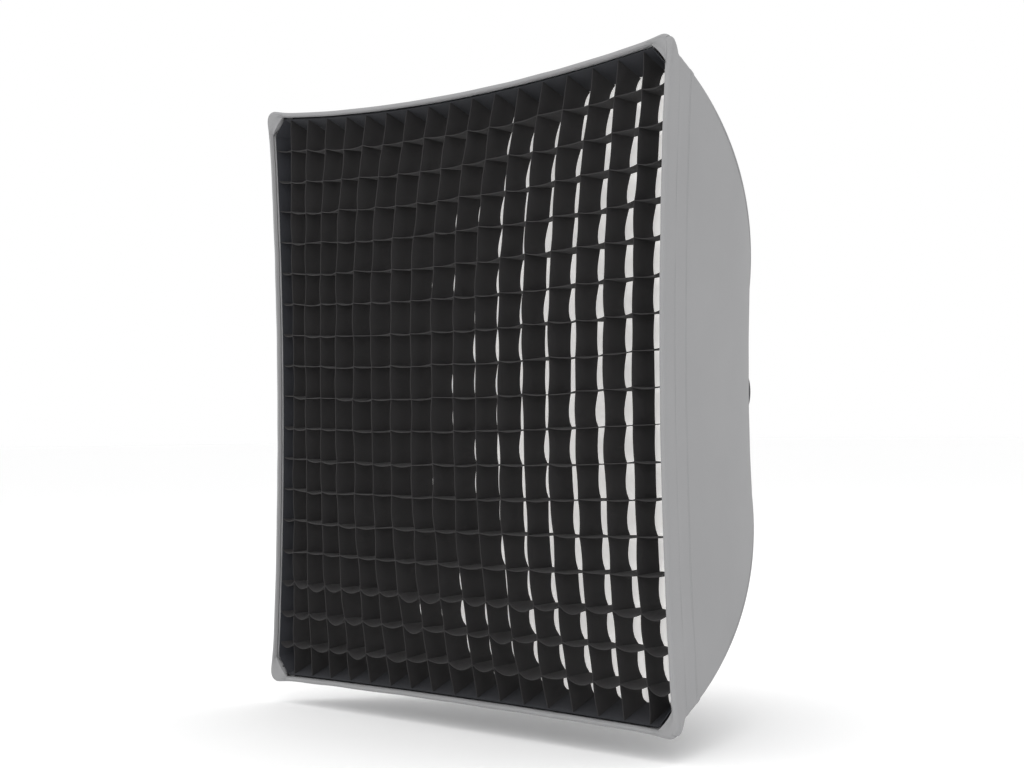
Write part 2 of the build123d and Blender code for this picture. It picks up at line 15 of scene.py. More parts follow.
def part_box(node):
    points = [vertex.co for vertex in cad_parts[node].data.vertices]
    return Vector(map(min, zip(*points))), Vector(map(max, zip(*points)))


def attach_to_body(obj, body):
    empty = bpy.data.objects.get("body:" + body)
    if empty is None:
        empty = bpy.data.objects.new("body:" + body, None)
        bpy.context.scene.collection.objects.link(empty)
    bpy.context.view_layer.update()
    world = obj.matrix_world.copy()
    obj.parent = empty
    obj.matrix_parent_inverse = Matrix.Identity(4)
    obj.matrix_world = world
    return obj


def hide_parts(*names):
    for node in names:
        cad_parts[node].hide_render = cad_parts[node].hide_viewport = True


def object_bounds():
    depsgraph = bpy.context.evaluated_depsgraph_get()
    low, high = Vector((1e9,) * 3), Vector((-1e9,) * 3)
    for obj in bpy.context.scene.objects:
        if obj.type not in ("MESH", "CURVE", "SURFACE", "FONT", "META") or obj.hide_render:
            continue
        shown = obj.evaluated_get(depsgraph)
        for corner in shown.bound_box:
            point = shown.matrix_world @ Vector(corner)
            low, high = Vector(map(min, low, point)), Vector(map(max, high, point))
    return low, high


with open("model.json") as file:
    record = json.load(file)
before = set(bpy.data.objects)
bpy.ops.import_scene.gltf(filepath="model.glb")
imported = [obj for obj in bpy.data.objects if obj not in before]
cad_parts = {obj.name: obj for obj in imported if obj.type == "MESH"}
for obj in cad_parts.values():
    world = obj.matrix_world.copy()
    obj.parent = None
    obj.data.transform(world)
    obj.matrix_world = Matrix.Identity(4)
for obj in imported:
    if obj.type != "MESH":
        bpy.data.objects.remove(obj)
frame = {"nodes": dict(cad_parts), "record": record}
CAD_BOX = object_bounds()

# Places read from the frame
FRONT_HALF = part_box("corner_pocket_top_right")[1].x
FRONT_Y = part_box("front_diffuser")[1].y - 0.050
SHELL_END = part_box("shell_panel_top")[1].y - FRONT_Y
BAFFLE_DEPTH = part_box("inner_baffle")[1].y - FRONT_Y
BAFFLE_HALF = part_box("inner_baffle")[1].x
COLLAR_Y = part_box("rear_collar")[1].y
GRID_PEAK_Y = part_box("grid_walls")[0].y

# Shape of the fabric body
LIP_DEPTH = 0.050
LIP_SLOPE = 0.49
SEAM_DEPTH = 0.080
RIB_RADIUS = 1.150
RIB_CENTRE_OUT = -0.409
RIB_CENTRE_DEPTH = -0.496
SAG = {"top": 0.025, "bottom": 0.004, "left": 0.020, "right": 0.018}
OUT = {"top": (0, 1), "right": (1, 0), "bottom": (0, -1), "left": (-1, 0)}
SIDES = list(OUT)
FRONT_ROUND = 0.018  # radius of the corners at the rim
ROD_ROUND = 0.003  # and where the cloth is pulled over the rod
ROUND_FADES = 0.045
SHELL_SAG = 0.006
CLOTH = 0.0009
THIN_CLOTH = 0.0007

# Depths, and how far the corners swell there, where the cloth goes over the rod tips
EAR = (
    (-0.004, 0.001), (0.0, 0.002), (0.010, 0.005), (0.020, 0.003),
    (0.030, 0.0), (0.037, -0.0012), (0.048, 0.0),
)
EAR_SPREAD = 0.034

# Egg-crate grid
CELLS = 18
CELL_STEPS = 6
GRID_INSET = 0.0068
GRID_RECESS = 0.0052
WALL_DEPTH = 0.0425
ROD_CLEAR = 0.0095  # from the middle of a rod to the border's cut corner
FAN = 0.0105  # by which the walls spread outwards, short of the border
LEAN_IN = 0.06  # share of the lip's lean that the innermost walls have
WALL = 0.0010
FRONT_DRIFT = 0.0019
BACK_DRIFT = 0.0012
BORDER_INSET = 0.0056
BORDER_THICK = 0.0012
BORDER_DEPTHS = (0.0045, 0.0120, 0.0200, 0.0320, 0.0475)
GRID_BULGE = FRONT_Y + GRID_RECESS - GRID_PEAK_Y


# ---- The body's shape ---------------------------------------------------------------------------

def side_before(side):
    return SIDES[SIDES.index(side) - 1]


def side_after(side):
    return SIDES[(SIDES.index(side) + 1) % 4]


def outwards_of(side):
    """The way that a side faces."""
    return (OUT[side][0], 0, OUT[side][1])


def corner_way(side):
    """The way from the axis to the corner after a side, with both its parts of length one."""
    (ax, az), (bx, bz) = OUT[side], OUT[side_after(side)]
    return np.array([ax + bx, 0.0, az + bz])


def corner_reach(depth):
    """Half width of the body at its corner ribs."""
    if depth < LIP_DEPTH:
        return FRONT_HALF - LIP_SLOPE * depth
    out = RIB_CENTRE_OUT + sqrt(RIB_RADIUS**2 - (depth - RIB_CENTRE_DEPTH) ** 2)
    return out / sqrt(2)


def bow_centre(side):
    sag = SAG[side]
    return FRONT_HALF - sag + (FRONT_HALF**2 + sag**2) / (2 * sag)


def edge_out(side, along, depth, inset=0.0):
    """How far out a side lies, at a place along it."""
    centre, reach = bow_centre(side), corner_reach(depth)
    radius = hypot(centre - reach, reach) + inset
    return centre - sqrt(radius**2 - along**2)


def corner_round(depth):
    """Radius of the corner: wide at the rim, tight where the cloth is pulled over the rod."""
    fade = max(0.0, 1 - max(depth, 0) / ROUND_FADES) ** 1.3
    return ROD_ROUND + (FRONT_ROUND - ROD_ROUND) * fade


def side_point(side, along, depth, inset=0.0):
    out, (ox, oz) = edge_out(side, along, depth, inset), OUT[side]
    return np.array([out * ox + along * oz, out * oz - along * ox])


def with_ear(points, depth, inset):
    """Swell a cross-section at its corners, where the cloth goes over the rod tips."""
    swell = np.interp(depth, *zip(*EAR))
    reach = corner_reach(depth) - inset
    away = (reach - np.abs(points[:, 0])) ** 2 + (reach - np.abs(points[:, 1])) ** 2
    return points + np.sign(points) * swell * np.exp(-away / EAR_SPREAD**2)[:, None]


def corner_curve(side, depth, inset, steps):
    """The rounded corner at the end of a side, as points from that side to the next."""
    reach = corner_reach(depth) - inset
    cut = reach - corner_round(depth)
    start = side_point(side, cut, depth, inset)
    end = side_point(side_after(side), -cut, depth, inset)
    tip = reach * corner_way(side)[[0, 2]]
    q = np.linspace(0, 1, 2 * steps + 1)[:, None]
    return (1 - q) ** 2 * start + 2 * q * (1 - q) * tip + q**2 * end


def side_strip(side, depth, inset=0.0, count=72, steps=5):
    """Points across a side, from the middle of one rounded corner to the middle of the next."""
    reach = corner_reach(depth) - inset
    cut = reach - corner_round(depth)
    middle = [side_point(side, a, depth, inset) for a in np.linspace(-cut, cut, count)]
    head = corner_curve(side_before(side), depth, inset, steps)[steps:-1]
    tail = corner_curve(side, depth, inset, steps)[1 : steps + 1]
    return with_ear(np.vstack([head, middle, tail]), depth, inset)


def at_depth(points, depth):
    """Points of a cross-section as points in space."""
    depth = np.broadcast_to(depth, len(points))
    return np.column_stack([points[:, 0], FRONT_Y + depth, points[:, 1]])


def ripple(point, scale, seed=0.0):
    return noise.noise(Vector(point) * scale + Vector((seed, 0.7 * seed, -seed)))


# ---- Mesh helpers -------------------------------------------------------------------------------

def mesh_object(name, verts, faces, materials, slots=None, sharp=40):
    mesh = bpy.data.meshes.new(name)
    mesh.from_pydata([tuple(v) for v in verts], [], faces)
    for material in materials:
        mesh.materials.append(material)
    if slots is not None:
        mesh.polygons.foreach_set("material_index", slots)
    mesh.validate()
    mesh.update()
    mesh.shade_smooth()
    mesh.set_sharp_from_angle(angle=radians(sharp))
    obj = bpy.data.objects.new(name, mesh)
    bpy.context.scene.collection.objects.link(obj)
    return obj


def grid_normals(points):
    across = np.gradient(points, axis=1)
    down = np.gradient(points, axis=0)
    normal = np.cross(down, across)
    return normal / np.maximum(np.linalg.norm(normal, axis=2, keepdims=True), 1e-12)


def slab_mesh(points, thickness, outwards):
    """A closed sheet: its outer face through the points, its inner face one thickness behind."""
    rows, cols = points.shape[:2]
    normal = grid_normals(points)
    middle = normal[rows // 2, cols // 2]
    if np.dot(middle, outwards) < 0:
        normal = -normal
    back = points - normal * thickness
    verts = np.vstack([points.reshape(-1, 3), back.reshape(-1, 3)])
    half = rows * cols
    faces, slots = [], []
    flip = np.dot(np.cross(points[rows // 2, cols // 2 - 1] - points[rows // 2, cols // 2],
                           points[rows // 2 - 1, cols // 2] - points[rows // 2, cols // 2]),
                  normal[rows // 2, cols // 2]) < 0

    def quad(a, b, c, d, slot):
        faces.append((d, c, b, a) if flip else (a, b, c, d))
        slots.append(slot)

    for r in range(rows - 1):
        for c in range(cols - 1):
            a, b = r * cols + c, r * cols + c + 1
            d, e = a + cols, b + cols
            quad(a, b, e, d, 0)
            quad(half + d, half + e, half + b, half + a, 1)
    rim = [r * cols for r in range(rows)]
    rim += [(rows - 1) * cols + c for c in range(1, cols)]
    rim += [r * cols + cols - 1 for r in range(rows - 2, -1, -1)]
    rim += list(range(cols - 2, 0, -1))
    for a, b in zip(rim, rim[1:] + rim[:1]):
        quad(a, b, half + b, half + a, 0)
    return verts, faces, slots


def joined(parts):
    """Several meshes as one list of corners and faces."""
    verts, faces, slots, base = [], [], [], 0
    for v, f, s in parts:
        verts.append(np.asarray(v))
        faces += [tuple(i + base for i in face) for face in f]
        slots += list(s)
        base += len(v)
    return np.vstack(verts), faces, slots


def sheet_object(name, points, materials, outwards, thickness=CLOTH):
    verts, faces, slots = slab_mesh(points, thickness, outwards)
    return mesh_object(name, verts, faces, materials, slots)


def swept(path, outs, backs, section, closed=False):
    """A closed section carried along a path. The section is (out, back) pairs at each point."""
    rings = path[:, None, :] + section[..., :1] * outs[:, None, :]
    rings = rings + section[..., 1:] * backs[:, None, :]
    count, size = rings.shape[:2]
    faces = []
    for r in range(count if closed else count - 1):
        n = (r + 1) % count
        for c in range(size):
            d = (c + 1) % size
            faces.append((r * size + c, r * size + d, n * size + d, n * size + c))
    if not closed:
        faces.append(tuple(range(size - 1, -1, -1)))
        faces.append(tuple((count - 1) * size + c for c in range(size)))
    return rings.reshape(-1, 3), faces, [0] * len(faces)


def oval_section(path, wide, thick, middle=0.0):
    """The same oval at each point of a path, its middle a little way out from the path."""
    angles = np.linspace(0, 2 * pi, 10, endpoint=False)
    oval = np.column_stack([middle + wide * np.cos(angles), thick * np.sin(angles)])
    return np.repeat(oval[None], len(path), axis=0)


def path_frames(path, closed=False):
    """Outward directions in the cross-plane, and the backward direction, along a rim path."""
    if closed:
        step = np.roll(path, -1, axis=0) - np.roll(path, 1, axis=0)
    else:
        step = np.gradient(path, axis=0)
    outs = np.cross(step, (0.0, 1.0, 0.0))
    outs /= np.linalg.norm(outs, axis=1, keepdims=True)
    facing = np.sum(outs * path * (1, 0, 1))
    backs = np.tile((0.0, 1.0, 0.0), (len(path), 1))
    return (outs if facing > 0 else -outs), backs


def stitch_row(path, normals, pitch=0.0042, length=0.0028, radius=0.00038):
    """Sewn stitches: short threads lying on the cloth, sunk at both ends."""
    lengths = np.concatenate([[0], np.cumsum(np.linalg.norm(np.diff(path, axis=0), axis=1))])
    places = np.arange(pitch, lengths[-1] - pitch, pitch)
    parts = []
    for place in places:
        ends = [np.array([np.interp(place + s, lengths, path[:, k]) for k in range(3)])
                for s in (-length / 2, length / 2)]
        normal = np.array([np.interp(place, lengths, normals[:, k]) for k in range(3)])
        along = (ends[1] - ends[0]) / length
        side = np.cross(along, normal)
        middle = (ends[0] + ends[1]) / 2 + normal * radius
        corners = [ends[0] - normal * radius, ends[1] - normal * radius]
        for angle in (0, pi / 2, pi, 3 * pi / 2):
            corners.append(middle + radius * (side * cos(angle) + normal * sin(angle)))
        faces = [(0, 3, 2), (0, 4, 3), (0, 5, 4), (0, 2, 5)]
        faces += [(1, 2, 3), (1, 3, 4), (1, 4, 5), (1, 5, 2)]
        parts.append((np.array(corners), faces, [0] * len(faces)))
    return joined(parts)


# ---- Materials ----------------------------------------------------------------------------------

class Nodes:
    """A material's node tree, with short names for what is used here."""

    def __init__(self, name):
        self.material = bpy.data.materials.new(name)
        self.material.use_nodes = True
        self.tree = self.material.node_tree
        self.shader = self.tree.nodes["Principled BSDF"]
        self.place = self.add("ShaderNodeTexCoord").outputs["Object"]

    def add(self, kind, **values):
        node = self.tree.nodes.new(kind)
        for key, value in values.items():
            setattr(node, key, value)
        return node

    def link(self, source, target):
        self.tree.links.new(source, target)

    def noise(self, scale, detail=3.0, stretch=(1, 1, 1)):
        mapping = self.add("ShaderNodeMapping")
        mapping.inputs["Scale"].default_value = stretch
        self.link(self.place, mapping.inputs["Vector"])
        node = self.add("ShaderNodeTexNoise")
        node.inputs["Scale"].default_value = scale
        node.inputs["Detail"].default_value = detail
        self.link(mapping.outputs["Vector"], node.inputs["Vector"])
        return node.outputs["Fac"]

    def threads(self, pitch, mirrored):
        """One set of threads, running slantwise across X, Y and Z."""
        mapping = self.add("ShaderNodeMapping")
        mapping.inputs["Scale"].default_value = (1, 1, -1) if mirrored else (1, 1, 1)
        self.link(self.place, mapping.inputs["Vector"])
        wave = self.add("ShaderNodeTexWave", wave_type="BANDS", bands_direction="DIAGONAL")
        wave.inputs["Scale"].default_value = 2 * pi / (10 * pitch)
        self.link(mapping.outputs["Vector"], wave.inputs["Vector"])
        return wave.outputs["Fac"]

    def math(self, operation, a, b):
        node = self.add("ShaderNodeMath", operation=operation)
        for socket, value in zip(node.inputs, (a, b)):
            if isinstance(value, (int, float)):
                socket.default_value = value
            else:
                self.link(value, socket)
        return node.outputs[0]

    def ramp(self, factor, stops):
        node = self.add("ShaderNodeValToRGB")
        ramp = node.color_ramp
        while len(ramp.elements) < len(stops):
            ramp.elements.new(0.5)
        for element, (place, colour) in zip(ramp.elements, stops):
            element.position = place
            element.color = (*colour, 1)
        self.link(factor, node.inputs["Fac"])
        return node.outputs["Color"]

    def bump(self, height, strength, distance):
        node = self.add("ShaderNodeBump")
        node.inputs["Strength"].default_value = strength
        node.inputs["Distance"].default_value = distance
        self.link(height, node.inputs["Height"])
        self.link(node.outputs["Normal"], self.shader.inputs["Normal"])


def shade(colour, factor):
    return tuple(c * factor for c in colour)


def cloth(name, colour, spread=0.05, pitch=0.0011, weave=0.35, rough=(0.75, 0.95), sheen=0.0,
          painted_backlight=0.0):
    """Woven cloth: crossed threads, slow colour variation and a fine fuzz, and, if asked, an
    emission glow that paints in backlight.
    """
    m = Nodes(name)
    patches = m.noise(7.0, 4.0)
    weft = m.math("MULTIPLY", m.threads(pitch, False), m.threads(pitch, True))
    fuzz = m.noise(650.0, 2.0)
    mix = m.math("ADD", m.math("MULTIPLY", patches, 0.7), m.math("MULTIPLY", weft, 0.2))
    mix = m.math("ADD", mix, m.math("MULTIPLY", fuzz, 0.1))
    stops = ((0.25, shade(colour, 1 - spread)), (0.75, shade(colour, 1 + spread)))
    m.link(m.ramp(mix, stops), m.shader.inputs["Base Color"])
    lows = ((0.2, (rough[0],) * 3), (0.8, (rough[1],) * 3))
    m.link(m.ramp(fuzz, lows), m.shader.inputs["Roughness"])
    m.bump(m.math("ADD", weft, m.math("MULTIPLY", fuzz, 0.6)), weave, 0.0004)
    m.shader.inputs["Sheen Weight"].default_value = sheen
    m.shader.inputs["Sheen Roughness"].default_value = 0.5
    m.shader.inputs["Specular IOR Level"].default_value = 0.25
    # Emission here is painted backlight: the cloth glows as though a lamp shone through it.
    if painted_backlight:
        m.shader.inputs["Emission Color"].default_value = (1.0, 0.985, 0.965, 1)
        m.shader.inputs["Emission Strength"].default_value = painted_backlight
    return m.material


def metal(name, colour, rough, stretch, scale, depth=0.00015):
    """Machined metal: tool marks drawn out along one direction."""
    m = Nodes(name)
    marks = m.noise(scale, 4.0, stretch)
    stain = m.noise(25.0, 3.0)
    m.link(m.ramp(stain, ((0.3, shade(colour, 0.9)), (0.7, colour))), m.shader.inputs["Base Color"])
    levels = ((0.3, (rough * 0.75,) * 3), (0.7, (rough * 1.25,) * 3))
    m.link(m.ramp(marks, levels), m.shader.inputs["Roughness"])
    m.bump(marks, 0.25, depth)
    m.shader.inputs["Metallic"].default_value = 1.0
    return m.material


def moulded(name, colour, rough, grain=900.0):
    """Moulded plastic, rubber or powder coat, with a fine pebbled skin."""
    m = Nodes(name)
    skin = m.noise(grain, 3.0)
    patches = m.noise(18.0, 3.0)
    stops = ((0.3, shade(colour, 0.85)), (0.7, shade(colour, 1.15)))
    m.link(m.ramp(patches, stops), m.shader.inputs["Base Color"])
    levels = ((0.3, (rough * 0.85,) * 3), (0.7, (min(1.0, rough * 1.15),) * 3))
    m.link(m.ramp(skin, levels), m.shader.inputs["Roughness"])
    m.bump(skin, 0.3, 0.0002)
    return m.material


GREY = cloth("grey_cloth_outer", (0.298, 0.298, 0.303), spread=0.035, weave=0.12, pitch=0.0009)
SILVER = cloth("silver_lining", (0.60, 0.60, 0.61), spread=0.08, weave=0.3, rough=(0.35, 0.55))
BINDING = cloth("grey_binding_tape", (0.300, 0.300, 0.305), spread=0.05, pitch=0.0016, weave=0.25)
THREAD = cloth("grey_thread", (0.29, 0.29, 0.295), spread=0.1, pitch=0.0006, weave=0.4)
# The diffuser glows with painted backlight, as though lit from inside the softbox.
WHITE = cloth("white_diffuser", (0.86, 0.85, 0.835), spread=0.03, pitch=0.001, weave=0.2, painted_backlight=0.42)
BAFFLE = cloth("white_baffle", (0.82, 0.82, 0.81), spread=0.03, pitch=0.001, weave=0.2)
BLACK = cloth("black_grid_cloth", (0.030, 0.0285, 0.0295), spread=0.18, pitch=0.0013, weave=0.45,
              sheen=0.04)
BORDER = cloth("black_border_cloth", (0.026, 0.027, 0.032), spread=0.15, pitch=0.0013, weave=0.45,
               sheen=0.05)
TAPE = cloth("hook_and_loop_tape", (0.020, 0.020, 0.022), spread=0.3, pitch=0.0018, weave=0.9)
ELASTIC = cloth("elastic_webbing", (0.05, 0.05, 0.052), spread=0.2, pitch=0.0022, weave=0.8)
TURNED = metal("turned_alloy", (0.72, 0.73, 0.74), 0.30, (1, 30, 1), 14.0)
PLATE = metal("plate_steel", (0.55, 0.56, 0.57), 0.34, (12, 1, 1), 30.0)
SCREWS = metal("screw_steel", (0.42, 0.42, 0.43), 0.36, (1, 10, 1), 60.0)
RODS = metal("rod_steel", (0.60, 0.60, 0.61), 0.28, (1, 1, 1), 220.0, depth=0.0001)
COAT = moulded("ring_powder_coat", (0.055, 0.055, 0.060), 0.55)
RUBBER = moulded("cap_rubber", (0.045, 0.045, 0.045), 0.85, grain=500.0)
KNOB = moulded("knob_plastic", (0.030, 0.030, 0.030), 0.50, grain=1100.0)
NYLON = moulded("pad_nylon", (0.80, 0.80, 0.77), 0.60)


def attach(piece, body, slot, *nodes):
    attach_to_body(piece, body)
    if nodes:
        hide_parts(*nodes)


# ---- Shell and lip ------------------------------------------------------------------------------

CREASE = 0.0006


def panel_points(side, depths, lift=0.0, sag=0.0):
    """The outer face of a panel; its middle sags in and it creases a little near its seams."""
    rows = []
    for depth in depths:
        flat = side_strip(side, depth, -lift)
        along = np.linspace(-1, 1, len(flat))
        run = (depth - SEAM_DEPTH) / (SHELL_END - SEAM_DEPTH)
        drop = sag * sin(pi * min(max(run, 0), 1)) * (1 - along**2)
        row = at_depth(flat, depth)
        out = np.array(outwards_of(side))
        for k, point in enumerate(row):
            pull = CREASE * ripple(point, 16.0, 3.1) * (1 - along[k] ** 8)
            row[k] = point - out * (drop[k] + pull)
        rows.append(row)
    return np.array(rows)


SHELL_DEPTHS = np.linspace(SEAM_DEPTH - 0.004, SHELL_END, 30)
LIP_DEPTHS = np.concatenate([np.linspace(0.003, LIP_DEPTH, 9), np.linspace(0.056, SEAM_DEPTH, 6)])
for side in SIDES:
    shell = sheet_object(f"shell_{side}", panel_points(side, SHELL_DEPTHS, sag=SHELL_SAG),
                         [GREY, SILVER], outwards_of(side))
    attach(shell, "softbox", "grey_cloth", f"shell_panel_{side}")
    lip = sheet_object(f"lip_{side}", panel_points(side, LIP_DEPTHS, lift=0.0006),
                       [GREY, SILVER], outwards_of(side))
    attach(lip, "softbox", "grey_cloth", f"lip_panel_{side}")

# Felled hem where the lip laps over the shell, and two rows of stitches, each as depth and lift
HEM = ((0.0715, 0.0002), (0.0722, 0.0008), (0.0755, 0.0010),
       (0.0795, 0.0010), (0.0828, 0.0008), (0.0832, 0.0001))
STITCHES = ((0.040, 0.0006), (0.0745, 0.0010))
ROW_END = 4  # points at each end of a row that stay unstitched
for side in SIDES:
    rows = [at_depth(side_strip(side, depth, -lift), depth) for depth, lift in HEM]
    hem = sheet_object(f"lip_hem_{side}", np.array(rows), [GREY, GREY], outwards_of(side),
                       thickness=THIN_CLOTH)
    attach(hem, "softbox", "grey_cloth")
    parts = []
    for depth, lift in STITCHES:
        row = at_depth(side_strip(side, depth, -lift), depth)
        outs, _ = path_frames(row)
        parts.append(stitch_row(row[ROW_END:-ROW_END], outs[ROW_END:-ROW_END]))
    stitches = mesh_object(f"stitches_{side}", *joined(parts)[:2], [THREAD])
    attach(stitches, "softbox", "grey_binding")

# Rolled binding along each front edge, pressed in where it is sewn down
RING = 20
ROLL_R = 0.0037
ROLL_DEPTH = 0.001
ROLL_INSET = 0.0016
ROLL_WAVER = 0.0007
CORNER_SWELL = 0.35
SEWN_DENT = 0.22
SEWN_ANGLE = radians(205)
for side in SIDES:
    path = at_depth(side_strip(side, ROLL_DEPTH, ROLL_INSET, count=170), ROLL_DEPTH)
    waver = 1.6 if side == "bottom" else 0.7  # the bottom edge is the waviest
    for k, point in enumerate(path):
        path[k, 1] += ROLL_WAVER * ripple(point, 22.0, 5.0)
        path[k, 2] += ROLL_WAVER * waver * ripple(point, 13.0, 9.0)
    outs, backs = path_frames(path)
    section = np.zeros((len(path), RING, 2))
    for k, point in enumerate(path):
        away = hypot(FRONT_HALF - abs(point[0]), FRONT_HALF - abs(point[2]))
        swell = 1 + CORNER_SWELL * exp(-((away / 0.030) ** 2))
        for c in range(RING):
            angle = 2 * pi * c / RING
            pressed = 1 - SEWN_DENT * max(0, cos(angle - SEWN_ANGLE)) ** 14
            radius = ROLL_R * swell * pressed * (1 + 0.02 * ripple(point, 40.0, 2.0))
            section[k, c] = (radius * cos(angle), radius * sin(angle))
    verts, faces, _ = swept(path, outs, backs, section)
    binding = mesh_object(f"rim_roll_{side}", verts, faces, [BINDING])
    attach(binding, "softbox", "grey_binding", f"rim_binding_{side}")

# ---- Corners ------------------------------------------------------------------------------------

CAP_LEG = 0.050
CAP_DEPTHS = (0.0025, 0.036)
CAP_FADE = 0.006  # the cap comes flush over this depth, at its back
CAP_INSET = 0.0004
CAP_PROUD = 0.0012
CAP_THICK = 0.0008
GUSSET_LEG = 0.040
GUSSET_INSET = 0.0022
GUSSET_FRONT = 0.0022  # in front of the corner plane, and as much again at its swell
GUSSET_HOLLOW = 0.003
SLEEVE_R = 0.0080
SLEEVE_START = 0.0014
SLEEVE_END = 0.046
ROD_INSET = 0.009  # from the corner ribs to the middle of the rods


def corner_strip(side, depth, inset, leg, steps=8):
    """Points round a corner, reaching one leg along each of its two sides."""
    reach = corner_reach(depth) - inset
    cut = reach - corner_round(depth)
    legs = np.linspace(reach - leg, cut, 9)[:-1]
    first = [side_point(side, a, depth, inset) for a in legs]
    last = [side_point(side_after(side), -a, depth, inset) for a in legs[::-1]]
    points = np.vstack([first, corner_curve(side, depth, inset, steps), last])
    return with_ear(points, depth, inset)


def rod_out(depth):
    """Distance of a rod from the axis."""
    back = depth - RIB_CENTRE_DEPTH
    return RIB_CENTRE_OUT + sqrt((RIB_RADIUS - ROD_INSET) ** 2 - back**2)


CORNER_AFTER = {
    "top": "top_right", "right": "bottom_right", "bottom": "bottom_left", "left": "top_left",
}
gussets = []
for side, corner in CORNER_AFTER.items():
    outwards = corner_way(side)
    rows = []
    for depth in np.linspace(*CAP_DEPTHS, 12):
        flush = corner_strip(side, depth, CAP_INSET, CAP_LEG)
        proud = corner_strip(side, depth, -CAP_PROUD, CAP_LEG)
        hump = np.sin(np.linspace(0, pi, len(flush)))[:, None] ** 0.5
        hump = hump * min(1.0, (CAP_DEPTHS[1] - depth) / CAP_FADE)
        rows.append(at_depth(flush * (1 - hump) + proud * hump, depth))
    pocket = sheet_object(f"corner_cap_{corner}", np.array(rows), [GREY, SILVER], outwards,
                          CAP_THICK)
    attach(pocket, "softbox", "grey_cloth", f"corner_pocket_{corner}")

    # Domed gusset from the rounded outline to a hollow edge, then a sleeve back along the rod
    outline = corner_strip(side, 0.0, GUSSET_INSET, GUSSET_LEG)[1:-1]
    chord = np.linspace(outline[0], outline[-1], len(outline))
    lean = outwards[[0, 2]] / sqrt(2)
    turn = np.linspace(0, pi, len(outline))[:, None]
    free_edge = chord + np.sin(turn) * GUSSET_HOLLOW * lean
    sideways = (outline[-1] - outline[0]) / np.linalg.norm(outline[-1] - outline[0])
    dome = []
    for mix in np.linspace(0, 1, 9):
        row = outline * (1 - mix) + free_edge * mix
        swell = GUSSET_FRONT * sin(pi * min(1.0, 0.25 + mix))
        depth = -GUSSET_FRONT - swell + (GUSSET_FRONT + SLEEVE_START) * mix
        dome.append(at_depth(row, depth))
    for mix in np.linspace(0, 1, 10)[1:]:
        depth = SLEEVE_START + (SLEEVE_END - SLEEVE_START) * mix
        inner_half = SLEEVE_R * (np.cos(turn) * -sideways + np.sin(turn) * lean)
        grip = rod_out(depth) * lean - inner_half
        row = free_edge * (1 - mix) ** 3 + grip * (1 - (1 - mix) ** 3)
        dome.append(at_depth(row, depth))
    gussets.append(slab_mesh(np.array(dome), THIN_CLOTH, (0, -1, 0)))
gusset = mesh_object("corner_gussets_sewn", *joined(gussets)[:2], [GREY])
attach(gusset, "softbox", "grey_cloth", "corner_gussets")

# Ribs: the shell's seam stands proud along each rod, and its bound allowance lies inside. Each
# has an inset, a half width and a half thickness.
SEAM = (0.0008, 0.0016, 0.0013)
ALLOWANCE = (0.0065, 0.0050, 0.0007)
RIB_FRONT = 0.045
RIB_BACK = SHELL_END - 0.012
rib_parts = []
for side in SIDES:
    outwards = corner_way(side) / sqrt(2)
    depths = np.linspace(RIB_FRONT, RIB_BACK, 70)
    for inset, wide, thick in (SEAM, ALLOWANCE):
        path = []
        for depth in depths:
            tip = corner_curve(side, depth, inset, 4)[4]
            path.append((tip[0], FRONT_Y + depth, tip[1]))
        path = np.array(path)
        step = np.gradient(path, axis=0)
        step /= np.linalg.norm(step, axis=1, keepdims=True)
        across = np.cross(step, outwards)
        across /= np.linalg.norm(across, axis=1, keepdims=True)
        up = np.cross(across, step)
        rib_parts.append(swept(path, across, up, oval_section(path, wide, thick)))
ribs = mesh_object("rib_seams", *joined(rib_parts)[:2], [BINDING])
attach(ribs, "softbox", "grey_binding", "seam_bindings")

# ---- Rear collar --------------------------------------------------------------------------------

COLLAR_STEPS = 240
COLLAR_INSET = 0.0012
HOLE_R = 0.0695
SQUARENESS = 14.0  # of the collar's outer end
PLEAT = 0.0011
PLEATS = (38, 17)  # a fine set and a coarse one
COLLAR_LAP = 0.006  # inside the shell's end
COLLAR_STOP = 0.0030  # in front of the CAD collar's back
INNER_SCALE = 0.990
ELASTIC_R = 0.0017


def collar_ring(mix, pleat):
    """One ring of the collar, from the square shell end to the round elastic hole."""
    half = corner_reach(SHELL_END) - COLLAR_INSET
    ring = []
    for angle in np.linspace(0, 2 * pi, COLLAR_STEPS, endpoint=False):
        c, s = cos(angle), sin(angle)
        square = half / (abs(c) ** SQUARENESS + abs(s) ** SQUARENESS) ** (1 / SQUARENESS)
        radius = square * (1 - mix) + HOLE_R * mix
        radius += pleat * (sin(PLEATS[0] * angle) + 0.4 * sin(PLEATS[1] * angle + 1.0))
        ring.append((radius * c, radius * s))
    return np.array(ring)


rings = []
front, back = SHELL_END - COLLAR_LAP, COLLAR_Y - FRONT_Y - COLLAR_STOP
for step in np.linspace(0, 1, 14):
    mix = min(1.0, step**1.7)
    depth = front + (back - front) * min(1.0, sin(pi / 2 * min(1.0, 1.25 * step)))
    rings.append(at_depth(collar_ring(mix, PLEAT * step), depth))
outer = np.array(rings)
inner = outer.copy()
inner[:, :, 0] *= INNER_SCALE
inner[:, :, 2] *= INNER_SCALE
inner[:, :, 1] -= CLOTH
loop = np.concatenate([outer, inner[::-1]])
verts = loop.reshape(-1, 3)
faces = []
for r in range(len(loop)):
    for c in range(COLLAR_STEPS):
        d = (c + 1) % COLLAR_STEPS
        here, there = r * COLLAR_STEPS, (r + 1) % len(loop) * COLLAR_STEPS
        faces.append((here + c, here + d, there + d, there + c))
collar = mesh_object("gathered_collar", verts, faces, [GREY])
attach(collar, "softbox", "grey_cloth", "rear_collar")
hem_path = at_depth(collar_ring(1.0, PLEAT), back - 0.0004)
outs, backs = path_frames(hem_path, closed=True)
section = oval_section(hem_path, ELASTIC_R, ELASTIC_R)
verts, faces, _ = swept(hem_path, outs, backs, section, closed=True)
elastic = mesh_object("collar_elastic", verts, faces, [BINDING])
attach(elastic, "softbox", "grey_binding")

# ---- Diffusers ----------------------------------------------------------------------------------

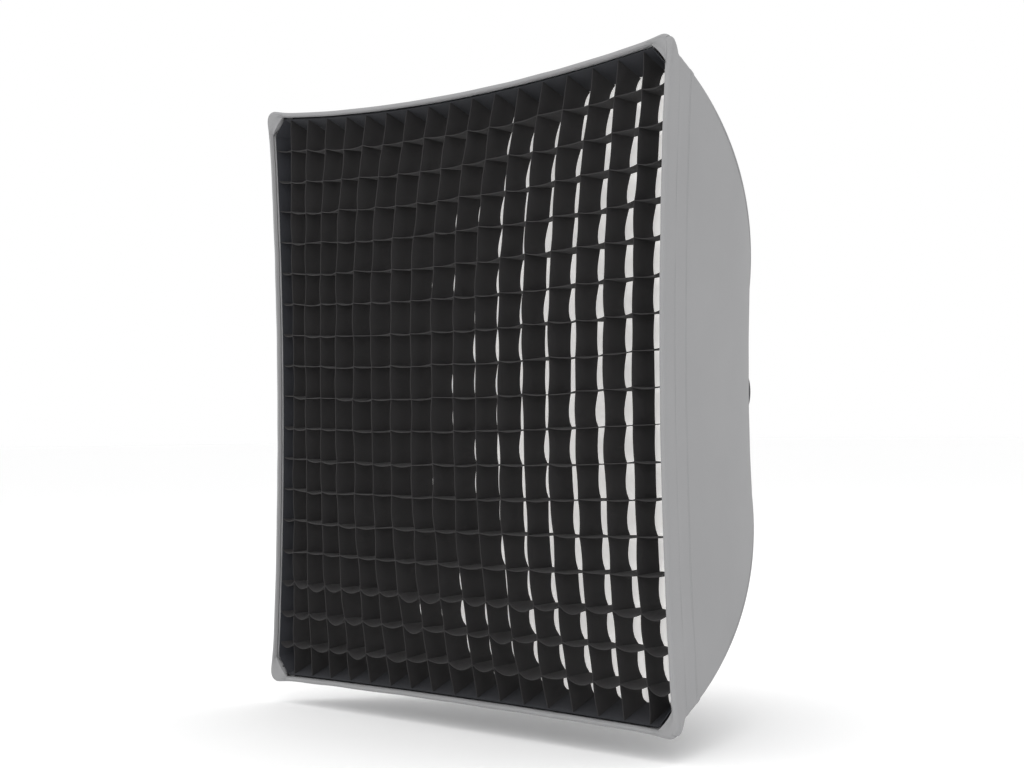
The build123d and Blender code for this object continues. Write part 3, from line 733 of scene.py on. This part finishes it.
CORNER_DRAW = 0.032
DIFFUSER_DEPTH = 0.0500
DIFFUSER_INSET = 0.0045
DIFFUSER_SLACK = 0.0034


def square_sheet(half_at, depth_at, count):
    """A square sheet across the body. half_at(side, place) gives each edge, depth_at its folds.
    Its corners are rounded off, clear of the rods."""
    rows = []
    for t in np.linspace(-1, 1, count):
        row = []
        for s in np.linspace(-1, 1, count):
            left, bottom = half_at("left", t), half_at("bottom", s)
            x = -left + (half_at("right", t) + left) * (s + 1) / 2
            z = -bottom + (half_at("top", s) + bottom) * (t + 1) / 2
            draw = 1 - CORNER_DRAW * abs(s * t) ** 16
            row.append((x * draw, FRONT_Y + depth_at(x, z, s, t), z * draw))
        rows.append(row)
    return np.array(rows)


def diffuser_edge(side, place):
    reach = corner_reach(DIFFUSER_DEPTH) - DIFFUSER_INSET
    return edge_out(side, place * reach, DIFFUSER_DEPTH, DIFFUSER_INSET)


def diffuser_folds(x, z, s, t):
    """Soft upright folds that die out at the taped edges."""
    slack = (1 - s**6) * (1 - t**6)
    fold = 0.0030 * noise.noise(Vector((x * 22.0, z * 1.8, 4.0))) + 0.0010 * sin(60 * x + 4 * z)
    return DIFFUSER_DEPTH + slack * (DIFFUSER_SLACK + fold)


diffuser = sheet_object("front_diffuser_cloth", square_sheet(diffuser_edge, diffuser_folds, 90),
                        [WHITE, WHITE], (0, -1, 0), THIN_CLOTH)
attach(diffuser, "front_diffuser", "white_cloth", "front_diffuser")


BAFFLE_BOW = 0.009
BAFFLE_CORNER = 0.010
HEM_MIDDLE = -0.005
HEM_HALF = (0.0055, 0.0011)


def baffle_edge(_, place):
    """Each edge is drawn in a little between the corner straps."""
    corner = max(0.0, (abs(place) - 0.9) / 0.1) ** 2
    return BAFFLE_HALF - BAFFLE_BOW * (1 - place**2) - BAFFLE_CORNER * corner


def baffle_folds(x, z, s, t):
    droop = 0.003 * (1 - s**2) * (1 - t**2)
    pull = 0.0018 * sin(9 * (x + z)) * abs(s * t)
    creases = 0.0010 * noise.noise(Vector((x * 11, z * 11, 1.0)))
    return BAFFLE_DEPTH - 0.0006 - droop + pull + creases


baffle_points = square_sheet(baffle_edge, baffle_folds, 50)
baffle = sheet_object("inner_baffle_cloth", baffle_points, [BAFFLE, BAFFLE], (0, -1, 0), THIN_CLOTH)
attach(baffle, "softbox", "white_cloth", "inner_baffle")
rim = np.vstack([
    baffle_points[0], baffle_points[1:, -1], baffle_points[-1, -2::-1], baffle_points[-2:0:-1, 0],
])
outs, backs = path_frames(rim, closed=True)
verts, faces, _ = swept(rim, outs, backs, oval_section(rim, *HEM_HALF, HEM_MIDDLE), closed=True)
baffle_hem = mesh_object("inner_baffle_hem", verts, faces, [BAFFLE])
attach(baffle_hem, "softbox", "white_cloth")

# ---- Egg-crate grid -----------------------------------------------------------------------------

draws = np.random.default_rng(18)


def grid_point(s, t, depth):
    """A place on the grid, from its left to right edge (s) and bottom to top edge (t)."""
    body_depth = max(depth, 0.004)
    reach = corner_reach(body_depth) - GRID_INSET
    left, right = (edge_out(e, t * reach, body_depth, GRID_INSET) for e in ("left", "right"))
    bottom, top = (edge_out(e, s * reach, body_depth, GRID_INSET) for e in ("bottom", "top"))
    x = -left + (left + right) * (s + 1) / 2
    return np.array([x, -bottom + (bottom + top) * (t + 1) / 2])


def bulge(s, t):
    """How far the grid's middle stands forward of its edges."""
    return GRID_BULGE * (1 - abs(s) ** 2.6) * (1 - abs(t) ** 2.6)


front_drift = draws.uniform(-FRONT_DRIFT, FRONT_DRIFT, (2, CELLS + 1, CELLS + 1))
back_drift = draws.uniform(-BACK_DRIFT, BACK_DRIFT, (2, CELLS + 1, CELLS + 1))
for drift in (front_drift, back_drift):
    drift[:, (0, -1), :] = 0
    drift[:, :, (0, -1)] = 0


def wall_strip(line, upright, lean, kick, droop):
    """One wall of the grid. It is sewn to the walls that it crosses, at places a little out of
    line, and within each cell it swings aside or sags by an amount of its own."""
    fixed = -1 + 2 * line / CELLS
    samples = CELLS * CELL_STEPS + 1
    rows = []
    for w in np.linspace(0, 1, 6):
        row = []
        for k in range(samples):
            cell = min(k // CELL_STEPS, CELLS - 1)
            u = k / CELL_STEPS - cell
            place = -1 + 2 * k / (samples - 1)
            s, t = (fixed, place) if upright else (place, fixed)
            front_x, front_z = grid_point(s, t, GRID_RECESS)
            own_x, own_z = grid_point(s, t, GRID_RECESS + w * WALL_DEPTH)
            x = front_x + (own_x - front_x) * (LEAN_IN + (1 - LEAN_IN) * abs(s) ** 16)
            z = front_z + (own_z - front_z) * (LEAN_IN + (1 - LEAN_IN) * abs(t) ** 16)
            x += FAN * s * (1 - abs(s) ** 10)
            here = (line, cell) if upright else (cell, line)
            there = (line, cell + 1) if upright else (cell + 1, line)
            for drift, share in ((front_drift, 1 - w), (back_drift, w)):
                x += share * (drift[0][here] * (1 - u) + drift[0][there] * u)
                z += share * (drift[1][here] * (1 - u) + drift[1][there] * u)
            belly = sin(pi * u) ** 0.8 if 0 < u < 1 else 0.0
            if upright:
                skew = 1.0 + 0.9 * (0.5 - u)
                x += belly * (kick[cell] * (1 - w) - lean[cell] * skew * w**0.7)
            else:
                z += belly * (-droop[cell] * (1 - w) ** 1.2 + kick[cell] * w)
            row.append((x, FRONT_Y + GRID_RECESS - bulge(s, t) + w * WALL_DEPTH, z))
        rows.append(row)
    return np.array(rows)


LOW_ROWS = 3  # the lowest rows are the slackest
uprights, levels = [], []
for line in range(1, CELLS):
    lean = draws.uniform(0.0, 0.0058, CELLS)
    lean[:LOW_ROWS] += draws.uniform(0.0, 0.005, LOW_ROWS)
    kick = draws.uniform(-0.0022, 0.0024, CELLS)
    uprights.append(slab_mesh(wall_strip(line, True, lean, kick, kick), WALL, (1, 0, 0)))
    droop = draws.uniform(0.0004, 0.0036, CELLS)
    if line <= LOW_ROWS:
        droop += draws.uniform(0.002, 0.009, CELLS)
    levels.append(slab_mesh(wall_strip(line, False, kick, kick, droop), WALL, (0, 0, 1)))
for name, parts in (("grid_upright_walls", uprights), ("grid_level_walls", levels)):
    walls = mesh_object(name, *joined(parts)[:2], [BLACK], sharp=55)
    attach(walls, "grid", "black_cloth", "grid_walls")


def border_strip(side, depth, inset, count=90):
    """Points along one side of the grid's border, from middle to middle of its cut corners."""
    reach = corner_reach(depth) - inset
    cut = (rod_out(depth) - ROD_CLEAR) * sqrt(2) - reach
    middle = [side_point(side, a, depth, inset) for a in np.linspace(-cut, cut, count)]
    head = (side_point(side_before(side), cut, depth, inset) + middle[0]) / 2
    tail = (side_point(side_after(side), -cut, depth, inset) + middle[-1]) / 2
    return np.vstack([[head], middle, [tail]])


# Border: a deep black band round the walls, its corners cut to pass the rods
border_parts = []
for side in SIDES:
    rows = [at_depth(border_strip(side, d, BORDER_INSET), d) for d in BORDER_DEPTHS]
    border_parts.append(slab_mesh(np.array(rows), BORDER_THICK, outwards_of(side)))
border = mesh_object("grid_border_band", *joined(border_parts)[:2], [BORDER])
attach(border, "grid", "black_cloth", "grid_border")

# ---- Carried-over CAD parts ---------------------------------------------------------------------

FINISHES = {
    "insert_alloy": TURNED, "plate_steel": PLATE, "screw_steel": SCREWS, "ring_paint": COAT,
    "rod_steel": RODS, "cap_rubber": RUBBER, "black_tape": TAPE, "strap_elastic": ELASTIC,
    "pad_nylon": NYLON, "knob_plastic": KNOB,
}
for entry in frame["record"]["subparts"]:
    node, finish = frame["nodes"][entry["node"]], FINISHES.get(entry["material_slot"])
    if finish:
        node.data.materials.clear()
        node.data.materials.append(finish)

# ---- Floor, light and camera --------------------------------------------------------------------

FLOOR_DROP = 0.035
FLOOR_HALF = 40.0
floor_z = CAD_BOX[0][2] - FLOOR_DROP
corners = [(x * FLOOR_HALF, y * FLOOR_HALF) for x, y in ((-1, -1), (1, -1), (1, 1), (-1, 1))]
PALE = cloth("pale_floor", (0.99, 0.99, 0.99), spread=0.002, pitch=0.02, weave=0.0)
floor = mesh_object("floor", [(x, y, floor_z) for x, y in corners], [(0, 1, 2, 3)], [PALE])

world = bpy.data.worlds.new("studio")
world.use_nodes = True
world.node_tree.nodes["Background"].inputs["Color"].default_value = (1, 1, 1, 1)
world.node_tree.nodes["Background"].inputs["Strength"].default_value = 1.0
bpy.context.scene.world = world
bpy.context.scene.view_settings.view_transform = "Standard"


def soft_light(name, place, target, size, watts):
    light = bpy.data.lights.new(name, "AREA")
    light.size = size
    light.energy = watts
    obj = bpy.data.objects.new(name, light)
    bpy.context.scene.collection.objects.link(obj)
    obj.location = place
    obj.rotation_euler = (Vector(target) - Vector(place)).to_track_quat("-Z", "Y").to_euler()


soft_light("key", (2.2, -3.6, 2.0), (0, -0.4, 0), 2.5, 22.0)
soft_light("floor_wash", (0.0, -0.3, 4.5), (0, -0.3, 0), 6.0, 75.0)

CAMERA_PLACE = Vector((2.385, -2.521, -0.047))
LENS = 75.2
YAW, PITCH, ROLL = radians(48.98), radians(1.04), radians(-0.48)
forward = Vector((-sin(YAW) * cos(PITCH), cos(YAW) * cos(PITCH), sin(PITCH)))
level = Vector((cos(YAW), sin(YAW), 0))
upright = level.cross(forward)
right_dir = level * cos(ROLL) + upright * sin(ROLL)
up_dir = upright * cos(ROLL) - level * sin(ROLL)
camera_data = bpy.data.cameras.new("camera")
camera_data.sensor_width = 36.0
camera_data.lens = LENS
camera = bpy.data.objects.new("camera", camera_data)
bpy.context.scene.collection.objects.link(camera)
turned = Matrix((right_dir, up_dir, -forward)).transposed().to_4x4()
camera.matrix_world = Matrix.Translation(CAMERA_PLACE) @ turned
bpy.context.scene.camera = camera
